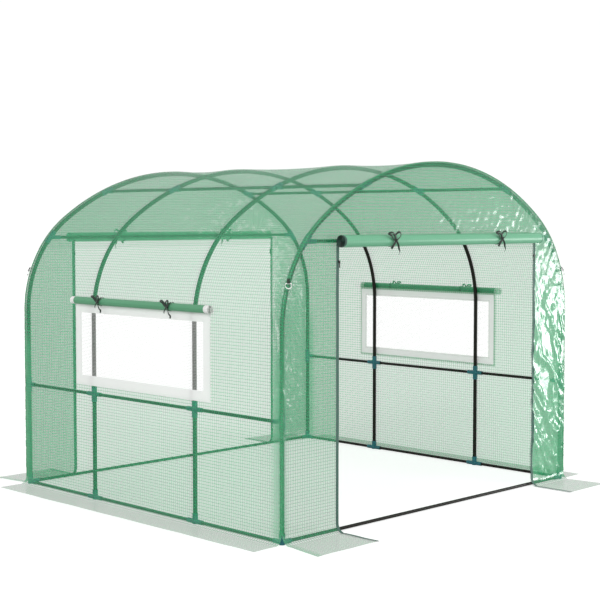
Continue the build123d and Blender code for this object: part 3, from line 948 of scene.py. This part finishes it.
def strap(points, width, face, twist, count=6):
    """A woven strap along a line; it shows its flat side to face where twist(share) is 0."""
    places, ahead = smooth_line(points, count)
    last = len(places) - 1
    sheet = bmesh.new()
    bmesh.ops.create_grid(sheet, x_segments=3, y_segments=last, size=0.5,
                          matrix=Matrix.Translation((0, 0.5, 0)))
    run = sum((b - a).length for a, b in zip(places, places[1:]))

    def laid(across, along):
        i = round(along / run * last)
        side = ahead[i].cross(face).normalized()
        side = Matrix.Rotation(twist(i / last), 3, ahead[i]) @ side
        return places[i] + side * across

    for vert in sheet.verts:
        vert.co = Vector((vert.co.x * width, vert.co.y * run, 0))
    bend(sheet, laid)
    return sheet


def wire(points, radius, sides=10):
    """A closed round bar along a closed line."""
    count = len(points)
    bar = bmesh.new()
    bmesh.ops.create_grid(bar, x_segments=sides, y_segments=count, size=0.5,
                          matrix=Matrix.Translation((0.5, 0.5, 0)))
    axis = (points[1] - points[0]).cross(points[2] - points[1]).normalized()
    write_cut(bar)
    for vert in bar.verts:
        i = round(vert.co.y * count) % count
        turn = 2 * math.pi * vert.co.x
        ahead = (points[(i + 1) % count] - points[i - 1]).normalized()
        out = ahead.cross(axis)
        vert.co = points[i] + (out * math.cos(turn) + axis * math.sin(turn)) * radius
    bmesh.ops.remove_doubles(bar, verts=bar.verts[:], dist=1e-6)
    bmesh.ops.recalc_face_normals(bar, faces=bar.faces[:])
    return bar


def joined(shapes):
    """One bmesh of several; the others are freed."""
    whole = bmesh.new()
    for shape in shapes:
        part = bpy.data.meshes.new("part")
        shape.to_mesh(part)
        shape.free()
        whole.from_mesh(part)
        bpy.data.meshes.remove(part)
    return whole


class TUNNEL_OT_ties(bpy.types.Operator):
    """Tie the rolled doors and flaps up with strap bows"""
    bl_idname = "tunnel.ties"
    bl_label = "Add Ties"

    # A bow seen from outside, in millimetres from its knot: right, up, out
    right_loop = ((0, 0, 2), (15, 11, 8), (25, 27, 12), (23, 41, 12), (13, 46, 9), (0, 39, 6),
                  (-10, 30, 5), (-10, 20, 5), (-3, 7, 3), (0, 0, 1))
    left_loop = ((0, 0, 1), (-12, 14, 7), (-26, 34, 11), (-44, 44, 12), (-62, 42, 9),
                 (-70, 36, 7), (-58, 32, 6), (-44, 26, 5), (-34, 16, 4), (-20, 4, 2), (0, 0, 2))
    thick_tail = ((0, 0, 2), (-12, -12, 4), (-26, -28, 3), (-37, -46, -2))
    thin_tail = ((0, 0, 2), (6, -14, 5), (15, -32, 5), (22, -50, 2), (33, -62, -2), (28, -80, -4))

    def execute(self, context):
        sizes, colours = context.scene.tunnel_sizes, context.scene.tunnel_colours
        webbing = finish("woven_polyester_strap", woven_tape, colours.tie, 1.6 * MM)
        x, y = Vector((1, 0, 0)), Vector((0, 1, 0))
        rows = (("door_ties", (("front_door_roll", x, -y, 1, (-0.477, 0.502)),
                               ("rear_door_roll", -x, y, 1, (-0.488, 0.480)))),
                ("window_ties", (("left_window_roll", -y, -x, 0.8, (-0.337, 0.308)),
                                 ("right_window_roll", y, x, 0.8, (-0.315, 0.330)))))
        for node, rolls in rows:
            straps = []
            for roll, right, out, scale, places in rolls:
                low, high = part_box(roll)
                centre = (low + high) / 2
                centre -= right * centre.dot(right)
                radius = (high.z - low.z) / 2
                for place in places:
                    straps += self.bow(centre + right * place, radius, right, out, scale,
                                       sizes.tie_width)
            piece = add_piece(f"{node}_bows", joined(straps), [webbing], [node])
            thicken(piece, 1.4 * MM)
        return {"FINISHED"}

    def bow(self, centre, radius, right, out, scale, width):
        """The straps of one bow: its band round the roll, two loops, two tails and the knot."""
        up = Vector((0, 0, 1))
        knot = centre + out * (radius + 4 * MM)

        def line(points):
            """Millimetres from the knot as places on the tunnel."""
            return [knot + (right * p[0] + up * p[1] + out * p[2]) * MM * scale for p in points]

        hold = radius + 1.2 * MM
        turns = [math.radians(a) for a in range(8, 341, 12)]
        band = [centre + (out * math.cos(a) + up * math.sin(a)) * hold
                + right * (7 * MM * math.sin(a)) for a in turns]
        wrap = [knot + (out * math.cos(a) * 6.5 + up * math.sin(a) * 9.5) * MM * scale
                for a in (math.radians(d) for d in range(-170, 181, 25))]
        width *= scale
        return [strap(band, width, right, lambda share: math.pi / 2, 3),
                strap(wrap, width * 0.9, right, lambda share: math.pi / 2, 4),
                strap(line(self.right_loop), width * 0.85, out, lambda share: 0.7 - share * 1.1),
                strap(line(self.left_loop), width * 0.85, out,
                      lambda share: 0.6 * math.sin(share * 5)),
                strap(line(self.thick_tail), width, out, lambda share: 0.3 * share),
                strap(line(self.thin_tail), width * 0.8, out, lambda share: 2.6 * share)]


class TUNNEL_OT_rings(bpy.types.Operator):
    """Hang the guy rings on their webbing loops at the four corners"""
    bl_idname = "tunnel.rings"
    bl_label = "Add Guy Rings"

    height = 1.374
    wide = 0.015
    wire_radius = 0.003

    def execute(self, context):
        colours = context.scene.tunnel_colours
        outline = Outline(context.scene.tunnel_sizes)
        webbing = finish("woven_polyester_strap", woven_tape, colours.tie, 1.6 * MM)
        plastic = finish("moulded_acetal", moulded_plastic, colours.ring, 0.3)
        place = outline.place_at(self.height)
        up = Vector((0, 0, 1))
        rings, loops = [], []
        for side in (-1, 1):
            for way in (-1, 1):
                x, z = outline.at(side * place, 3 * MM)
                slope = math.asin((z - outline.leg_top) / (outline.shoulder + 3 * MM))
                out = Vector((side * math.cos(slope), 0, math.sin(slope)))
                facing = (out + Vector((0, way, 0))).normalized()
                across = facing.cross(up).normalized()
                down = across.cross(facing)
                down *= -1 if down.z > 0 else 1
                seam = Vector((x, way * (panel_y + 3 * MM), z))
                heart = seam + facing * 6 * MM + down * 21 * MM
                shape = [heart + (across * math.sin(a) * 17 + down * self.bulge(a)) * MM
                         for a in (math.radians(d) for d in range(0, 360, 12))]
                rings.append(wire(shape, self.wire_radius))
                fold = [seam + down * d * MM + facing * f * MM
                        for d, f in ((-16, 0), (-4, 1), (5, 2), (11, 4), (12.5, 7), (9, 9), (0, 7.5),
                                     (-10, 4), (-16, 2))]
                loops.append(strap(fold, self.wide, across, lambda share: math.pi / 2))
        add_piece("guy_ring_wires", joined(rings), [plastic], ["guy_rings"])
        piece = add_piece("guy_ring_loops", joined(loops), [webbing])
        thicken(piece, 1.5 * MM)
        return {"FINISHED"}

    def bulge(self, turn):
        """The D's own line: a straight bar at its top, in the loop, and a round bow below."""
        return max(-math.cos(turn) * 17, -10)


class TUNNEL_OT_zips(bpy.types.Operator):
    """Sew the zips down the doorways and out along the skirts"""
    bl_idname = "tunnel.zips"
    bl_label = "Add Zips"

    lap = 0.008
    coil_pitch = 0.004
    coil_radius = 0.0019
    coil_stand = 0.0026
    pull_height = 1.47

    def execute(self, context):
        sizes, colours = context.scene.tunnel_sizes, context.scene.tunnel_colours
        outline = Outline(sizes)
        bottom = end_bottom(outline)
        tape = finish("woven_zip_tape", woven_tape, colours.zip_tape, 1.2 * MM)
        nylon = finish("moulded_nylon_coil", moulded_plastic, colours.zip_coil, 0.35)
        paint = finish("powder_coated_steel", powder_coat, colours.tube)
        tapes, coils, pulls = [], [], []
        for way, seed in ((-1, 0.0), (1, 11.0)):
            on_end = end_shape(sizes, way, seed, 1.6 * MM)
            on_coil = end_shape(sizes, way, seed, 0.0)
            for side in (-1, 1):
                at_edge = doorways[way][side > 0]
                inner = at_edge - side * sizes.zip_tape
                outer = at_edge + side * self.lap
                edge = new_sheet((min(inner, outer), bottom), (max(inner, outer), gable_bottom),
                                 0.005)
                bend(edge, on_end)
                face_away(edge, tunnel_middle)
                tapes.append(edge)
                coils.append(self.coil(inner + side * 0.0015, bottom, gable_bottom, on_coil, way))
                pulls.append(self.pull(on_coil(inner + side * 0.0015, self.pull_height), way))
        piece = add_piece("door_zip_tapes", joined(tapes), [tape], ["door_zips"])
        add_piece("door_zip_coils", joined(coils), [nylon])
        add_piece("door_zip_pulls", joined(pulls), [paint])
        return {"FINISHED"}

    def coil(self, x, bottom, top, shape, way):
        """A nylon coil, wound with a spin and laid along the tape's edge, behind the sheet.

        The real one has a turn every 1.5 mm, which is drawn coarser so that it shows.
        """
        coil = bmesh.new()
        bmesh.ops.create_circle(coil, segments=4, radius=0.6 * MM,
                                matrix=Matrix.Translation((self.coil_radius, 0, 0))
                                @ Matrix.Rotation(math.pi / 2, 4, "X"))
        bmesh.ops.spin(coil, geom=coil.verts[:] + coil.edges[:], angle=2 * math.pi * 8,
                       steps=64, axis=(0, 0, 1), cent=(0, 0, 0),
                       dvec=(0, 0, self.coil_pitch / 8))
        length = 8 * self.coil_pitch
        while length < top - bottom:
            made = bmesh.ops.duplicate(coil, geom=coil.verts[:] + coil.edges[:] + coil.faces[:])
            fresh = [item for item in made["geom"] if isinstance(item, bmesh.types.BMVert)]
            bmesh.ops.translate(coil, verts=fresh, vec=(0, 0, length))
            length *= 2
        bmesh.ops.remove_doubles(coil, verts=coil.verts[:], dist=0.02 * MM)
        bmesh.ops.bisect_plane(coil, geom=coil.verts[:] + coil.edges[:] + coil.faces[:],
                               plane_co=(0, 0, top - bottom), plane_no=(0, 0, 1), clear_outer=True)
        for face in coil.faces:
            face.smooth = True
        step = self.coil_pitch / 2
        line = [shape(x, bottom + i * step) for i in range(math.ceil((top - bottom) / step) + 2)]
        for vert in coil.verts:
            i, share = divmod(max(vert.co.z, 0) / step, 1)
            low, high = line[int(i)], line[int(i) + 1]
            out = (high - low).normalized().cross(Vector((-way, 0, 0)))
            place = low.lerp(high, share) + Vector((vert.co.x, 0, 0))
            vert.co = place + out * (vert.co.y + self.coil_stand)
        bmesh.ops.recalc_face_normals(coil, faces=coil.faces[:])
        return coil

    def pull(self, place, way):
        """A zip slider with its pull tab hanging."""
        made = bmesh.new()
        for width, deep, tall, drop, stand in ((11, 7, 14, 0, 4), (7, 1.6, 26, 19, 7.5)):
            spot = Matrix.Translation(place + Vector((0, way * stand * MM, -drop * MM)))
            body = bmesh.ops.create_cube(made, size=MM, matrix=spot
                                         @ Matrix.Diagonal((width, deep, tall, 1)))
            edges = {edge for vert in body["verts"] for edge in vert.link_edges}
            bmesh.ops.bevel(made, geom=list(edges), offset=0.7 * MM, offset_type="OFFSET",
                            segments=2, profile=0.5, affect="EDGES", material=-1)
        return made


CLASSES = (TunnelSizes, TunnelColours, TUNNEL_OT_stage, TUNNEL_OT_frame, TUNNEL_OT_cover,
           TUNNEL_OT_ends, TUNNEL_OT_hems, TUNNEL_OT_windows, TUNNEL_OT_rolls,
           TUNNEL_OT_zips, TUNNEL_OT_ties, TUNNEL_OT_rings)


class TUNNEL_PT_panel(bpy.types.Panel):
    """Lists the tunnel's pieces, sizes and colours"""
    bl_idname = "TUNNEL_PT_panel"
    bl_label = "Polytunnel"
    bl_space_type = "VIEW_3D"
    bl_region_type = "UI"
    bl_category = "Polytunnel"

    def draw(self, context):
        for made in CLASSES:
            if issubclass(made, bpy.types.Operator):
                self.layout.operator(made.bl_idname)
        for group in (context.scene.tunnel_sizes, context.scene.tunnel_colours):
            box = self.layout.box()
            for name in group.bl_rna.properties.keys():
                if name not in ("rna_type", "name"):
                    box.prop(group, name)


def register():
    for made in (*CLASSES, TUNNEL_PT_panel):
        bpy.utils.register_class(made)
    bpy.types.Scene.tunnel_sizes = PointerProperty(type=TunnelSizes)
    bpy.types.Scene.tunnel_colours = PointerProperty(type=TunnelColours)


def unregister():
    del bpy.types.Scene.tunnel_sizes
    del bpy.types.Scene.tunnel_colours
    for made in reversed((*CLASSES, TUNNEL_PT_panel)):
        bpy.utils.unregister_class(made)


def main():
    """Builds the whole tunnel on its frame."""
    register()
    bpy.ops.tunnel.stage()
    bpy.ops.tunnel.frame()
    bpy.ops.tunnel.cover()
    bpy.ops.tunnel.ends()
    bpy.ops.tunnel.hems()
    bpy.ops.tunnel.windows()
    bpy.ops.tunnel.rolls()
    bpy.ops.tunnel.zips()
    bpy.ops.tunnel.ties()
    bpy.ops.tunnel.rings()


if __name__ == "__main__":
    main()
